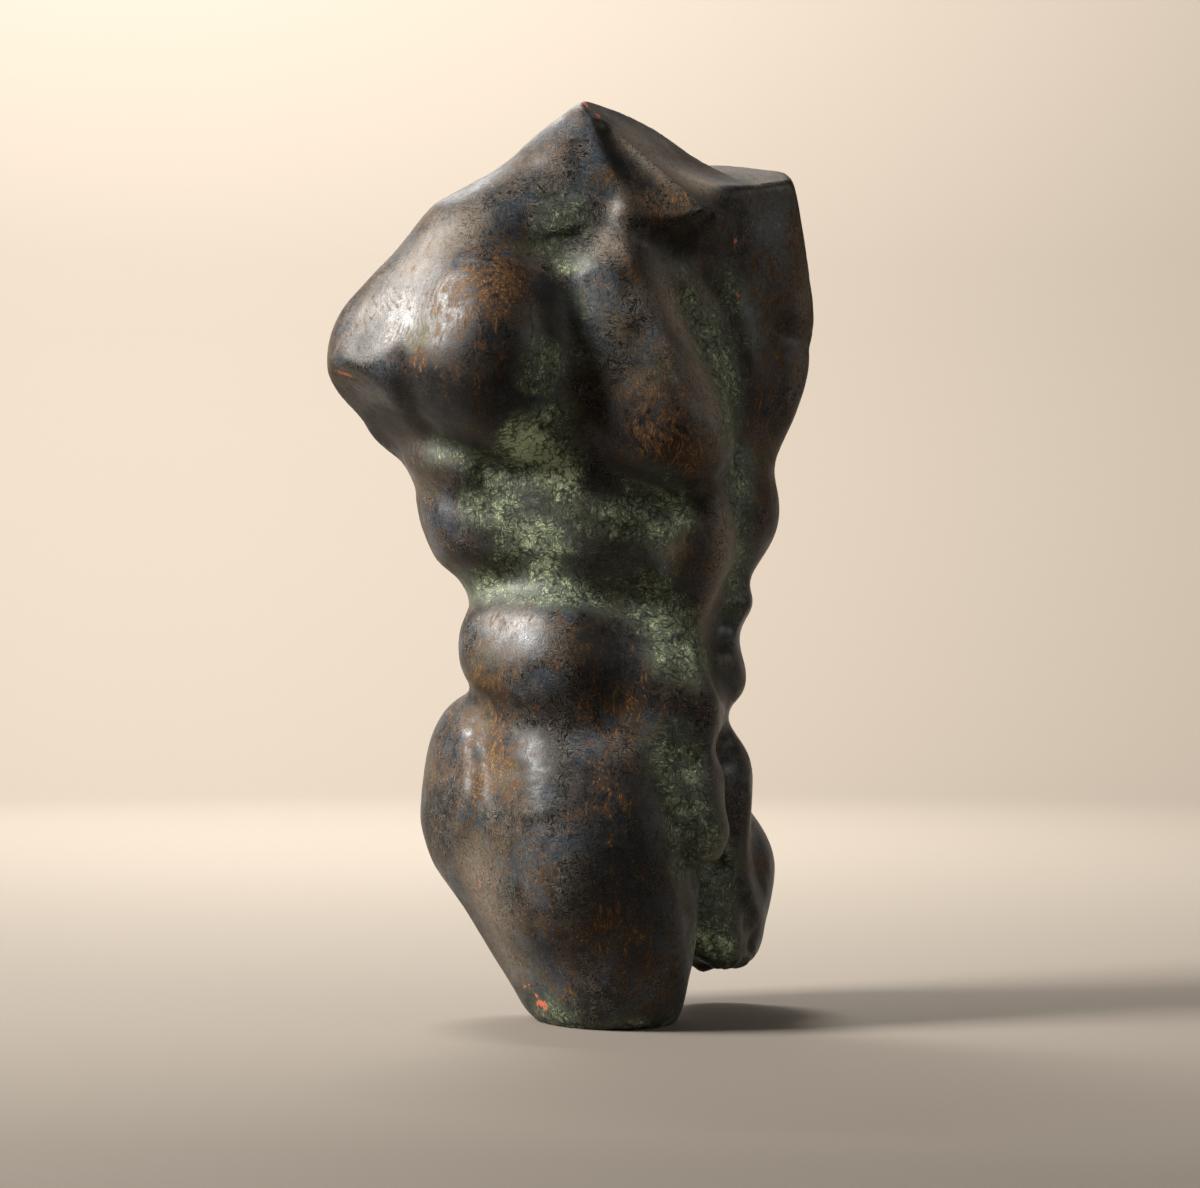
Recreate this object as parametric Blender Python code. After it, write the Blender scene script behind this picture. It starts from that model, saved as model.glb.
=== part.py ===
"""Terracotta torso: a headless male torso in fired clay, cut at the neck, arms and thighs.

It stands on its right thigh. The clay is built up the way a modeller does it: each muscle is an egg or a roll
of clay pressed into its neighbours, the stumps are sliced off with a wire, and the creases are pressed in.
+X is towards the figure's left shoulder, -Y towards the chest's front, +Z is up, and the origin is the middle
of the flat underside of the right thigh, the only place where the torso touches the ground.
"""

import bmesh
import bpy
import numpy as np

HEIGHT = 0.60  # underside of the right thigh to the tip of the neck, metres
CM = HEIGHT / 60.0  # the sizes below are centimetres on the sixty-centimetre torso
FACES = 9400  # triangles that carry the form


def rotation(turn):
    """Matrix that turns by degrees about X, then Y, then Z."""
    (cx, cy, cz), (sx, sy, sz) = np.cos(np.radians(turn)), np.sin(np.radians(turn))
    about_x = np.array([[1, 0, 0], [0, cx, -sx], [0, sx, cx]])
    about_y = np.array([[cy, 0, sy], [0, 1, 0], [-sy, 0, cy]])
    about_z = np.array([[cz, -sz, 0], [sz, cz, 0], [0, 0, 1]])
    return about_z @ about_y @ about_x


def lump(p, centre, radii, turn=(0, 0, 0)):
    """Distance from the points p to an egg of clay with these three radii."""
    q = (p - np.array(centre)) @ rotation(turn)
    r = np.array(radii)
    near = np.linalg.norm(q / r, axis=1)
    slope = np.linalg.norm(q / (r * r), axis=1) + 1e-9
    return near * (near - 1) / slope


def roll(p, start, end, r_start, r_end):
    """Distance to a tapering roll of clay between two points."""
    a, run = np.array(start), np.array(end) - np.array(start)
    t = np.clip((p - a) @ run / (run @ run), 0, 1)
    return np.linalg.norm(p - a - t[:, None] * run, axis=1) - (r_start + t * (r_end - r_start))


def merge(a, b, soft):
    """Joins two forms with a fillet about as wide as soft."""
    h = np.clip(0.5 + 0.5 * (b - a) / soft, 0, 1)
    return b + (a - b) * h - soft * h * (1 - h)


def press(shape, tool, soft):
    """Presses a tool's form into the clay."""
    return -merge(-shape, tool, soft)


def slice_off(shape, p, point, normal, soft):
    """Cuts away all that lies beyond a plane."""
    n = np.array(normal, float)
    plane = (p - np.array(point)) @ (n / np.linalg.norm(n))
    return -merge(-shape, -plane, soft)


def right_thigh(p):
    shape = roll(p, (0.3, -0.5, 0.5), (-0.9, -2.0, 12.5), 4.4, 5.7)
    shape = merge(shape, lump(p, (0.9, -2.4, 8.5), (4.7, 4.6, 8.5), (0, -5, 0)), 2.0)
    shape = merge(shape, roll(p, (-1.9, 1.0, 1.5), (-6.6, 1.6, 12.0), 3.4, 5.4), 2.5)
    shape = slice_off(shape, p, (-6.9, -5.4, 11.8), (-0.78, -0.5, -0.25), 1.2)
    return shape


def pelvis(p):
    shape = lump(p, (-1.0, 1.2, 17.0), (8.2, 6.6, 7.6), (0, 0, 25))
    shape = merge(shape, lump(p, (-7.2, 3.0, 14.8), (5.2, 6.2, 6.8), (0, -8, -25)), 1.0)
    shape = merge(shape, lump(p, (-6.9, 2.4, 19.0), (2.8, 4.0, 3.2), (0, 20, 0)), 1.6)
    shape = merge(shape, roll(p, (-3.2, -0.6, 17.0), (-2.6, -2.2, 10.0), 5.0, 5.6), 1.6)
    shape = slice_off(shape, p, (-5.9, -5.6, 14.5), (-0.77, -0.64, 0.05), 2.0)
    shape = merge(shape, lump(p, (2.2, -2.4, 16.0), (5.0, 3.8, 6.0)), 2.0)
    shape = merge(shape, roll(p, (4.2, -1.2, 17.5), (5.0, -3.0, 13.0), 2.4, 2.2), 1.6)
    shape = merge(shape, lump(p, (5.8, -2.6, 12.8), (1.6, 2.4, 2.6), (0, -12, 0)), 0.7)
    shape = merge(shape, lump(p, (1.4, 6.0, 14.8), (6.0, 5.2, 6.6), (0, 6, 20)), 0.9)
    return shape


def left_thigh(p):
    shape = roll(p, (6.0, 4.4, 0.5), (5.4, 3.8, 13.5), 3.2, 3.8)
    shape = merge(shape, lump(p, (5.7, 3.6, 15.6), (3.8, 3.6, 4.0)), 1.0)
    shape = slice_off(shape, p, (9.4, 4.4, 15.0), (0.95, 0.3, 0.08), 0.3)
    shape = merge(shape, roll(p, (6.8, 6.6, 2.5), (6.8, 7.2, 9.4), 3.3, 4.2), 0.7)
    shape = merge(shape, roll(p, (6.6, 6.8, 9.0), (3.4, 5.8, 15.0), 4.1, 4.6), 1.5)
    shape = slice_off(shape, p, (10.1, 6.4, 3.4), (0.8, 0.0, -0.6), 0.8)
    shape = slice_off(shape, p, (7.0, 6.0, 2.7), (0.05, -0.1, -1.0), 1.0)
    shape = slice_off(shape, p, (5.6, 0.8, 4.0), (-0.5, -0.2, -0.85), 0.5)
    return shape


def waist(p):
    shape = lump(p, (-0.2, 1.8, 24.0), (8.0, 6.0, 8.0))
    shape = merge(shape, lump(p, (-4.3, 0.2, 24.2), (5.5, 6.0, 5.3), (0, 4, 20)), 1.0)
    shape = merge(shape, lump(p, (-2.6, -1.2, 23.0), (6.0, 5.2, 4.6), (0, 12, 14)), 1.0)
    shape = slice_off(shape, p, (-6.3, -4.6, 25.2), (-0.52, -0.80, 0.28), 1.5)
    shape = merge(shape, lump(p, (2.0, -1.6, 21.2), (5.4, 4.1, 4.8), (0, 4, 0)), 2.6)
    shape = merge(shape, lump(p, (4.5, -1.6, 20.4), (2.5, 3.6, 3.4), (0, 6, 0)), 0.9)
    shape = merge(shape, roll(p, (5.4, 3.4, 36.0), (4.3, 3.2, 19.0), 4.9, 3.5), 1.2)
    shape = merge(shape, lump(p, (5.4, 2.4, 22.2), (3.6, 4.2, 3.2), (0, 0, 10)), 1.0)
    shape = merge(shape, lump(p, (5.6, 2.6, 27.6), (3.9, 4.2, 2.0), (0, 8, 10)), 1.0)
    return shape


def ribcage(p):
    shape = lump(p, (-0.4, 1.2, 34.6), (8.8, 7.0, 9.6), (0, -4, 0))
    shape = merge(shape, lump(p, (-7.4, 2.0, 34.2), (5.3, 6.0, 7.8), (0, -14, 0)), 1.2)
    shape = merge(shape, lump(p, (4.9, -1.3, 31.4), (3.3, 4.1, 4.4), (0, 4, 0)), 1.2)
    shape = merge(shape, lump(p, (7.0, 2.6, 33.4), (4.3, 4.6, 4.4), (0, 6, 0)), 1.0)
    return shape


def chest(p):
    shape = lump(p, (0.4, -0.8, 42.5), (7.6, 6.2, 10.5), (0, -6, 0))
    shape = merge(shape, lump(p, (3.3, -3.2, 38.4), (4.9, 4.7, 5.4), (0, -10, 0)), 1.8)
    shape = slice_off(shape, p, (2.2, -7.4, 45.5), (0.78, -0.42, 0.46), 0.5)
    return shape


def back(p):
    shape = lump(p, (-0.4, 2.6, 42.0), (11.0, 5.8, 11.5), (0, -8, 0))
    shape = merge(shape, lump(p, (-6.4, 5.0, 43.0), (4.2, 3.4, 6.4), (10, 14, 0)), 0.9)
    shape = merge(shape, lump(p, (5.6, 5.6, 44.5), (4.4, 3.6, 6.6), (10, -12, 0)), 0.9)
    shape = merge(shape, roll(p, (0.4, 2.0, 53.5), (0.0, 5.2, 45.0), 3.8, 2.4), 1.5)
    shape = merge(shape, roll(p, (-2.1, 5.0, 44.0), (-3.2, 5.0, 21.0), 2.4, 2.6), 1.2)
    shape = merge(shape, roll(p, (2.3, 5.2, 44.0), (1.4, 5.8, 21.0), 2.4, 2.6), 1.2)
    shape = merge(shape, roll(p, (7.4, 4.6, 42.0), (4.0, 5.0, 26.0), 4.6, 3.0), 2.0)
    shape = merge(shape, roll(p, (-8.6, 3.4, 40.0), (-5.2, 4.6, 25.0), 4.8, 3.0), 2.0)
    return shape


def right_shoulder(p):
    shape = roll(p, (-12.7, -1.9, 43.6), (-7.8, -0.8, 48.8), 5.1, 5.2)
    shape = merge(shape, roll(p, (-7.8, -0.6, 48.8), (-3.1, 0.0, 52.8), 5.0, 4.0), 1.5)
    shape = merge(shape, roll(p, (-14.0, -0.6, 42.2), (-9.9, 1.0, 38.2), 4.0, 5.1), 2.0)
    shape = merge(shape, roll(p, (-13.6, 2.2, 38.6), (-7.2, -0.2, 36.6), 2.2, 2.2), 1.2)
    shape = merge(shape, lump(p, (-7.7, -3.5, 43.0), (5.8, 6.2, 7.0)), 0.9)
    shape = slice_off(shape, p, (-14.2, -5.2, 45.8), (-0.56, -0.75, 0.29), 0.9)
    soft = np.interp(p[:, 0], (-16.0, -10.0), (0.2, 2.2))
    return slice_off(shape, p, (-17.9, -2.0, 42.0), (-0.58, -0.33, -0.74), soft)


def neck(p):
    shape = roll(p, (-3.0, 0.2, 52.6), (-0.8, -1.0, 57.8), 4.1, 2.1)
    shape = merge(shape, lump(p, (1.8, 0.8, 53.4), (7.2, 5.6, 5.4), (0, 41, 0)), 1.0)
    shape = merge(shape, roll(p, (-1.2, -1.4, 57.0), (5.6, -2.6, 51.8), 1.6, 2.0), 1.2)
    shape = merge(shape, roll(p, (1.5, -4.3, 51.9), (5.8, -3.8, 52.1), 1.3, 1.1), 0.6)
    shape = press(shape, roll(p, (0.0, -3.4, 57.8), (3.6, -8.0, 54.6), 0.9, 4.5), 0.5)
    shape = slice_off(shape, p, (-1.75, -1.0, 59.95), (0.53, -0.42, 0.74), 0.08)
    return shape


def left_shoulder(p):
    shape = lump(p, (6.8, 3.6, 46.0), (8.4, 6.6, 13.0), (0, 0, 0))
    shape = slice_off(shape, p, (11.9, 1.0, 55.0), (-0.04, -0.35, 0.93), 0.3)
    shape = slice_off(shape, p, (9.0, -0.2, 46.0), (0.45, -0.85, -0.05), 0.4)
    shape = slice_off(shape, p, (13.0, 3.0, 50.0), (0.97, 0.1, 0.18), 0.4)
    shape = slice_off(shape, p, (12.9, 3.0, 40.5), (0.98, 0.0, -0.16), 0.6)
    shape = slice_off(shape, p, (11.4, 3.0, 37.6), (0.8, 0.0, -0.6), 1.5)
    shape = slice_off(shape, p, (11.0, 8.0, 47.0), (0.65, 0.75, 0.1), 2.5)
    shape = press(shape, lump(p, (11.4, -2.8, 52.8), (2.0, 2.7, 1.7), (0, 30, 0)), 0.6)
    return shape


def masses(p):
    """Distance from points to the big forms of the torso, in centimetres, negative inside the clay."""
    shape = merge(pelvis(p), right_thigh(p), 2.2)
    shape = merge(shape, left_thigh(p), 0.8)
    shape = merge(shape, waist(p), 1.2)
    shape = merge(shape, ribcage(p), 1.6)
    shape = merge(shape, back(p), 1.6)
    shape = merge(shape, left_shoulder(p), 1.0)
    shape = merge(shape, chest(p), 1.2)
    shape = merge(shape, neck(p), 2.0)
    shape = merge(shape, right_shoulder(p), np.interp(p[:, 2], (44, 49), (1.4, 3.4)))
    shape = press(shape, roll(p, (6.4, -4.6, 51.5), (3.6, -6.6, 49.5), 0.5, 2.2), 0.3)
    return shape


FRONT, BACK = -1, 1


def rounded(path, rounds=2):
    """The path with its corners cut, so that a stroke runs in one curve."""
    for _ in range(rounds):
        inner = [a * (1 - t) + b * t for a, b in zip(path, path[1:]) for t in (0.25, 0.75)]
        path = np.array([path[0], *inner, path[-1]])
    return path


def lay(path, side):
    """Lays a path drawn in X and Z on the front or the back of the masses."""
    points = rounded(np.array([(x, side * 14.0, z) for x, z in path]))
    for _ in range(40):
        points[:, 1] = np.clip(points[:, 1] - side * 0.8 * masses(points), -14, 14)
    return points


def along(p, path, reach):
    """1 on a path and 0 at its reach and beyond, tapering to its ends; a distance in Y counts half."""
    scale = np.array([1.0, 0.5, 1.0])
    value = np.zeros(len(p))
    close = np.flatnonzero(((p > path.min(0) - 2 * reach) & (p < path.max(0) + 2 * reach)).all(1))
    if not len(close):
        return value
    q, away, place = p[close] * scale, np.full(len(close), 1e9), np.zeros(len(close))
    steps = len(path) - 1
    for i, (start, end) in enumerate(zip(path * scale, path[1:] * scale)):
        run = end - start
        t = np.clip((q - start) @ run / max(run @ run, 1e-9), 0, 1)
        d = np.linalg.norm(q - start - t[:, None] * run, axis=1)
        nearer = d < away
        away[nearer] = d[nearer]
        place[nearer] = (i + t[nearer]) / steps
    ends = np.clip(np.minimum(place, 1 - place) * 3, 0, 1)
    value[close] = np.clip(1 - away / reach, 0, 1) * ends * ends * (3 - 2 * ends)
    return value


def strokes():
    """The modeller's strokes: side, reach, rise, and path in X and Z. A fall is pressed in."""
    return [
        # right breast: the crease round it
        (FRONT, 3.0, -0.3, [(-9.4, 50.2), (-7.2, 50.2), (-4.8, 49.6), (-2.9, 48.2), (-2.0, 46.4),
            (-1.8, 44.2), (-2.6, 41.8), (-4.2, 39.6)]),
        (FRONT, 1.8, 0.6, [(-13.8, 36.8), (-12.0, 36.2), (-10.2, 35.6), (-8.0, 34.8)]),
        (FRONT, 1.7, -0.35, [(-13.2, 35.0), (-11.0, 34.2), (-8.6, 33.2), (-6.6, 33.0)]),
        # throat and collar bones
        (FRONT, 3.0, 0.18, [(-3.0, 53.0), (-2.8, 51.4), (-2.6, 50.4)]),
        (FRONT, 3.5, 0.55, [(-2.6, 47.2), (0.2, 48.5), (1.9, 48.4), (3.0, 46.9), (3.8, 44.0)]),
        # left breast: its outer edge and the edge of the hollow beyond
        (FRONT, 1.6, 0.35, [(2.0, 47.6), (2.9, 44.4), (4.2, 42.8), (5.9, 41.6), (6.6, 40.2), (7.0, 38.4),
            (6.4, 35.4)]),
        (FRONT, 1.4, 0.35, [(1.0, 49.6), (3.8, 48.4), (5.4, 47.0), (6.8, 45.0), (7.3, 43.4), (7.5, 41.4),
            (7.5, 37.8)]),
        (FRONT, 1.9, -0.7, [(-1.5, 38.4), (-0.3, 35.6), (1.0, 34.2), (2.9, 33.4), (5.1, 33.4),
            (6.8, 35.0)]),
        # armpit fold
        (FRONT, 1.6, -0.4, [(5.8, 51.4), (6.2, 48.2), (7.2, 45.8), (8.0, 43.4), (8.2, 41.0), (8.3, 37.6),
            (8.4, 32.0)]),
        # ribs to groin: the front edge
        (FRONT, 1.5, 0.45, [(6.0, 36.2), (7.2, 33.0), (7.5, 31.0), (7.0, 29.0), (6.0, 27.0),
            (4.8, 24.8)]),
        (FRONT, 1.4, 0.5, [(4.6, 25.6), (5.2, 23.6), (6.1, 21.8), (6.5, 20.2), (6.4, 18.4), (6.1, 16.4),
            (6.4, 14.4), (7.0, 12.6), (6.9, 11.6), (6.0, 11.1), (4.8, 10.7)]),
        (FRONT, 1.7, -1.0, [(9.2, 31.0), (8.7, 29.0), (7.9, 27.2), (7.0, 25.4), (6.8, 24.0), (7.4, 22.4),
            (8.2, 20.8), (8.6, 18.6)]),
        (FRONT, 1.5, -0.35, [(6.6, 25.2), (5.0, 24.6), (3.4, 25.0), (1.6, 26.2)]),
        (FRONT, 1.2, -1.1, [(5.2, 9.3), (6.4, 9.8), (7.7, 10.8)]),
        (FRONT, 1.0, 0.4, [(4.8, 10.9), (6.0, 11.2), (7.0, 12.0), (7.2, 13.4)]),
        (FRONT, 1.8, -0.4, [(8.6, 17.9), (7.0, 17.6), (5.4, 17.2), (3.6, 17.6)]),
        # waist
        (FRONT, 2.4, -0.4, [(-13.5, 28.7), (-10.2, 28.6), (-7.0, 28.4), (-3.5, 28.0), (1.0, 27.0)]),
        (FRONT, 2.2, -0.32, [(-11.4, 22.6), (-9.6, 21.2), (-8.0, 20.2), (-6.5, 19.5), (-5.0, 18.9),
            (-3.2, 18.6), (0.0, 18.4), (3.5, 18.4)]),
        (FRONT, 3.4, -0.4, [(0.6, 31.0), (0.9, 27.0), (0.9, 22.4), (0.2, 18.0)]),
        # right hip
        (FRONT, 1.3, 0.24, [(-9.4, 18.6), (-8.9, 16.6), (-9.3, 13.7), (-9.9, 11.0)]),
        (FRONT, 2.2, -0.14, [(-8.3, 20.0), (-7.9, 18.4), (-7.6, 16.8)]),
        (FRONT, 2.8, 0.16, [(-4.9, 16.6), (-4.7, 13.0)]),
        (FRONT, 3.0, 0.12, [(-9.6, 21.6), (-9.2, 18.6), (-9.0, 16.3), (-9.6, 13.4), (-9.4, 11.0),
            (-7.6, 6.5)]),
        (FRONT, 3.4, -0.12, [(-8.6, 23.0), (-7.6, 19.6), (-7.3, 17.0), (-7.4, 12.0)]),
        # groin
        (FRONT, 1.8, -0.4, [(2.2, 19.0), (2.8, 16.0), (3.8, 13.2), (4.8, 10.6), (5.2, 8.0), (5.2, 2.0)]),
        # back: the spine, the cleft and the folds under the buttocks
        (BACK, 2.4, -0.9, [(0.4, 50.0), (0.2, 46.0), (-0.2, 40.0), (-0.6, 34.0), (-1.0, 28.0),
            (-1.4, 22.0), (-2.0, 18.0)]),
        (BACK, 1.8, -1.4, [(-1.6, 20.0), (-3.0, 17.5), (-3.6, 14.5), (-3.4, 11.5), (-2.0, 8.0)]),
        (BACK, 2.0, -0.5, [(-10.4, 9.6), (-8.0, 8.6), (-5.6, 8.6), (-3.4, 9.6)]),
        # left shoulder: the nick in its outer edge
        (FRONT, 1.6, -0.4, [(10.6, 45.2), (12.4, 44.6), (13.6, 44.0)]),
        # left thigh
        (FRONT, 1.1, 0.55, [(9.2, 17.0), (9.0, 13.6), (8.7, 11.2), (8.9, 9.0), (9.6, 7.2), (10.2, 5.0)]),
    ]


def laid_strokes():
    return [(lay(path, side), reach, rise) for side, reach, rise, path in strokes()]


STROKES = laid_strokes()


def torso(p):
    """Distance from points to the finished torso."""
    shape = masses(p)
    for path, reach, rise in STROKES:
        near = along(p, path, reach)
        shape = shape - rise * near * near * (3 - 2 * near)
    return slice_off(shape, p, (0, 0, -0.4), (0, 0, -1), 1.6)


def sampled(form, axes, band):
    """The form on a grid: every third point first, then all the points near the surface."""
    n = [len(a) for a in axes]
    coarse = [a[::3] for a in axes]
    grid = np.stack(np.meshgrid(*coarse, indexing="ij"), -1)
    value = form(grid.reshape(-1, 3)).reshape(grid.shape[:3])
    for axis in range(3):
        value = np.repeat(value, 3, axis)
    more = [(0, max(0, k - m)) for k, m in zip(n, value.shape)]
    value = np.pad(value, more, mode="edge")[: n[0], : n[1], : n[2]]
    i, j, k = np.nonzero(np.abs(value) < band)
    near = np.stack([axes[0][i], axes[1][j], axes[2][k]], 1)
    batches = np.array_split(near, max(1, len(near) // 100000))
    value[i, j, k] = np.concatenate([form(some) for some in batches])
    return value


def skin(form, low, high, step):
    """Points and quads of the surface where form is zero, by surface nets on a grid of this step."""
    axes = [np.arange(a, b + step, step) for a, b in zip(low, high)]
    n = [len(a) for a in axes]
    value = sampled(form, axes, 5.5 * step)
    inside = value < 0
    total, count = np.zeros([k - 1 for k in n] + [3]), np.zeros([k - 1 for k in n])
    corners = [(i, j, k) for i in (0, 1) for j in (0, 1) for k in (0, 1)]
    window = lambda field, c: field[c[0] : n[0] - 1 + c[0], c[1] : n[1] - 1 + c[1], c[2] : n[2] - 1 + c[2]]
    for a in corners:
        for axis in range(3):
            if a[axis]:
                continue
            b = tuple(1 if m == axis else a[m] for m in range(3))
            va, vb = window(value, a), window(value, b)
            crossing = window(inside, a) != window(inside, b)
            t = np.where(crossing, va / np.where(crossing, va - vb, 1), 0)
            point = np.stack([np.full(t.shape, float(a[m])) if m != axis else t for m in range(3)], -1)
            total += point * crossing[..., None]
            count += crossing
    used = count > 0
    number = np.full(used.shape, -1)
    number[used] = np.arange(used.sum())
    cell = np.argwhere(used)
    points = (cell + total[used] / count[used][:, None]) * step + np.array(low)
    quads = []
    for axis in range(3):
        u, v = (axis + 1) % 3, (axis + 2) % 3
        lower = np.take(inside, range(n[axis] - 1), axis)
        upper = np.take(inside, range(1, n[axis]), axis)
        edges = np.argwhere(lower != upper)
        within = (edges[:, u] > 0) & (edges[:, v] > 0) & (edges[:, u] < n[u] - 1) & (edges[:, v] < n[v] - 1)
        edges = edges[within]
        starts_inside = lower[tuple(edges.T)]
        around = []
        for du, dv in ((1, 1), (0, 1), (0, 0), (1, 0)):
            corner = edges.copy()
            corner[:, u] -= du
            corner[:, v] -= dv
            around.append(number[tuple(corner.T)])
        quad = np.stack(around, 1)
        quad[~starts_inside] = quad[~starts_inside][:, ::-1]
        quads.append(quad)
    return points, np.concatenate(quads)


def settle(points, form, rounds=3, h=0.02):
    """Moves points onto the surface along its slope."""
    for _ in range(rounds):
        d = form(points)
        slope = np.stack([form(points + h * e) - form(points - h * e) for e in np.eye(3)], 1) / (2 * h)
        points = points - (d / np.maximum((slope**2).sum(1), 0.05))[:, None] * slope
    return points


def build(step=0.5, faces=None):
    points, quads = skin(torso, (-20, -13, -1.5), (15, 14, 62), step)
    points = settle(points, torso)
    mesh = bpy.data.meshes.new("torso")
    mesh.from_pydata((points * CM).tolist(), [], quads.tolist())
    mesh.update()
    torso_object = bpy.data.objects.new("torso", mesh)
    bpy.context.scene.collection.objects.link(torso_object)
    if faces:
        thin_out(torso_object, faces / (2 * len(quads)))
    stand_flat(torso_object.data)
    return torso_object


def thin_out(obj, share):
    """Merges faces where the clay is nearly flat, down to a share of them."""
    fewer = obj.modifiers.new("fewer faces", "DECIMATE")
    fewer.ratio = share
    graph = bpy.context.evaluated_depsgraph_get()
    obj.data = bpy.data.meshes.new_from_object(obj.evaluated_get(graph), depsgraph=graph)
    obj.modifiers.clear()


def stand_flat(mesh):
    """Cuts the underside of the right thigh to one flat face on the ground."""
    clay = bmesh.new()
    clay.from_mesh(mesh)
    everything = clay.verts[:] + clay.edges[:] + clay.faces[:]
    bmesh.ops.bisect_plane(clay, geom=everything, plane_co=(0, 0, 0), plane_no=(0, 0, -1), clear_outer=True)
    rim = [edge for edge in clay.edges if edge.is_boundary]
    bmesh.ops.holes_fill(clay, edges=rim)
    bmesh.ops.recalc_face_normals(clay, faces=clay.faces[:])
    clay.to_mesh(mesh)
    clay.free()


def patina(obj):
    """Fired clay under a dark brown patina, waxed."""
    material = bpy.data.materials.new("patinated terracotta")
    material.use_nodes = True
    shader = material.node_tree.nodes["Principled BSDF"]
    shader.inputs["Base Color"].default_value = (0.035, 0.029, 0.024, 1.0)
    shader.inputs["Roughness"].default_value = 0.42
    shader.inputs["Metallic"].default_value = 0.0
    obj.data.materials.append(material)


def main():
    for obj in list(bpy.data.objects):
        bpy.data.objects.remove(obj)
    torso_object = build(faces=FACES)
    patina(torso_object)
    torso_object.data.shade_smooth()


if __name__ == "__main__":
    main()
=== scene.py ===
"""A headless male torso in patinated terracotta, standing on the cut end of its right thigh."""

import math

import bmesh
import bpy
import numpy as np
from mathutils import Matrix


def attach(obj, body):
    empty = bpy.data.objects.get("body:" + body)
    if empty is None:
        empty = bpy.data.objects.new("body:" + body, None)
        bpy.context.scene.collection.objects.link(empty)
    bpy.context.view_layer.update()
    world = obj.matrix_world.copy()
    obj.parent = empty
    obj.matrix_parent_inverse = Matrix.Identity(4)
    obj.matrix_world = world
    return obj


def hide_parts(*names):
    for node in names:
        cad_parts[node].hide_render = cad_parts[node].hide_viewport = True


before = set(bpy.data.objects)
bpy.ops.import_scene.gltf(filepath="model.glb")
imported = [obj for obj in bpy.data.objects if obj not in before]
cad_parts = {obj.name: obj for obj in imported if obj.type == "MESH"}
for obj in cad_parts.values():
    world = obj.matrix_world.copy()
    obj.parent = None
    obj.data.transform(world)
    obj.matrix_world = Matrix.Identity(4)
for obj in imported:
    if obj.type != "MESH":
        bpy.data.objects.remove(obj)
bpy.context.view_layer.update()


# ==========================================================================================================
# The torso. The real one is built up hollow from lumps of terracotta clay, cut with a wire at the neck, arms
# and thighs, and fired. It is stained nearly black, waxed, rubbed through to brown and powdered green. It is
# held by nothing but its own weight, on the flat cut end of the right thigh.
# ==========================================================================================================
HEIGHT = 0.60  # underside of the right thigh to the tip of the neck, metres
CM = HEIGHT / 60.0  # the sizes below are centimetres on the sixty-centimetre torso
STEP = 0.25  # grid on which the clay is meshed, finer than any mark made in the mesh
GROUND = (0, 0, 0)
DOWN = (0, 0, -1)


def rotation(turn):
    """Matrix that turns by degrees about X, then Y, then Z."""
    (cx, cy, cz), (sx, sy, sz) = np.cos(np.radians(turn)), np.sin(np.radians(turn))
    about_x = np.array([[1, 0, 0], [0, cx, -sx], [0, sx, cx]])
    about_y = np.array([[cy, 0, sy], [0, 1, 0], [-sy, 0, cy]])
    about_z = np.array([[cz, -sz, 0], [sz, cz, 0], [0, 0, 1]])
    return about_z @ about_y @ about_x


def lump(p, centre, radii, turn=(0, 0, 0)):
    """Distance from the points p to an egg of clay with these three radii."""
    q = (p - np.array(centre)) @ rotation(turn)
    r = np.array(radii)
    near = np.linalg.norm(q / r, axis=1)
    slope = np.linalg.norm(q / (r * r), axis=1) + 1e-9
    return near * (near - 1) / slope


def roll(p, start, end, r_start, r_end):
    """Distance to a tapering roll of clay between two points."""
    a = np.array(start)
    run = np.array(end) - a
    t = np.clip((p - a) @ run / (run @ run), 0, 1)
    return np.linalg.norm(p - a - t[:, None] * run, axis=1) - (r_start + t * (r_end - r_start))


def merge(a, b, soft):
    """Joins two forms with a fillet about as wide as soft."""
    h = np.clip(0.5 + 0.5 * (b - a) / soft, 0, 1)
    return b + (a - b) * h - soft * h * (1 - h)


def press(shape, tool, soft):
    """Presses a tool's form into the clay."""
    return -merge(-shape, tool, soft)


def slice_off(shape, p, point, normal, soft):
    """Cuts away all that lies beyond a plane."""
    n = np.array(normal, float)
    plane = (p - np.array(point)) @ (n / np.linalg.norm(n))
    return -merge(-shape, -plane, soft)


def right_thigh(p):
    shape = roll(p, (0.3, -0.5, 0.5), (-0.9, -2.0, 12.5), 4.4, 5.7)
    shape = merge(shape, lump(p, (0.9, -2.4, 8.5), (4.7, 4.6, 8.5), (0, -5, 0)), 2.0)
    shape = merge(shape, roll(p, (-1.9, 1.0, 1.5), (-6.6, 1.6, 12.0), 3.4, 5.4), 2.5)
    shape = slice_off(shape, p, (-6.9, -5.4, 11.8), (-0.78, -0.5, -0.25), 1.2)
    return shape


def pelvis(p):
    shape = lump(p, (-1.0, 1.2, 17.0), (8.2, 6.6, 7.6), (0, 0, 25))
    shape = merge(shape, lump(p, (-7.2, 3.0, 14.8), (5.2, 6.2, 6.8), (0, -8, -25)), 1.0)
    shape = merge(shape, lump(p, (-6.9, 2.4, 19.0), (2.8, 4.0, 3.2), (0, 20, 0)), 1.6)
    shape = merge(shape, roll(p, (-3.2, -0.6, 17.0), (-2.6, -2.2, 10.0), 5.0, 5.6), 1.6)
    shape = slice_off(shape, p, (-5.9, -5.6, 14.5), (-0.77, -0.64, 0.05), 2.0)
    shape = merge(shape, lump(p, (2.2, -2.4, 16.0), (5.0, 3.8, 6.0)), 2.0)
    shape = merge(shape, roll(p, (4.2, -1.2, 17.5), (5.0, -3.0, 13.0), 2.4, 2.2), 1.6)
    shape = merge(shape, lump(p, (5.8, -2.6, 12.8), (1.6, 2.4, 2.6), (0, -12, 0)), 0.7)
    shape = merge(shape, lump(p, (1.4, 6.0, 14.8), (6.0, 5.2, 6.6), (0, 6, 20)), 0.9)
    return shape


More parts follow.
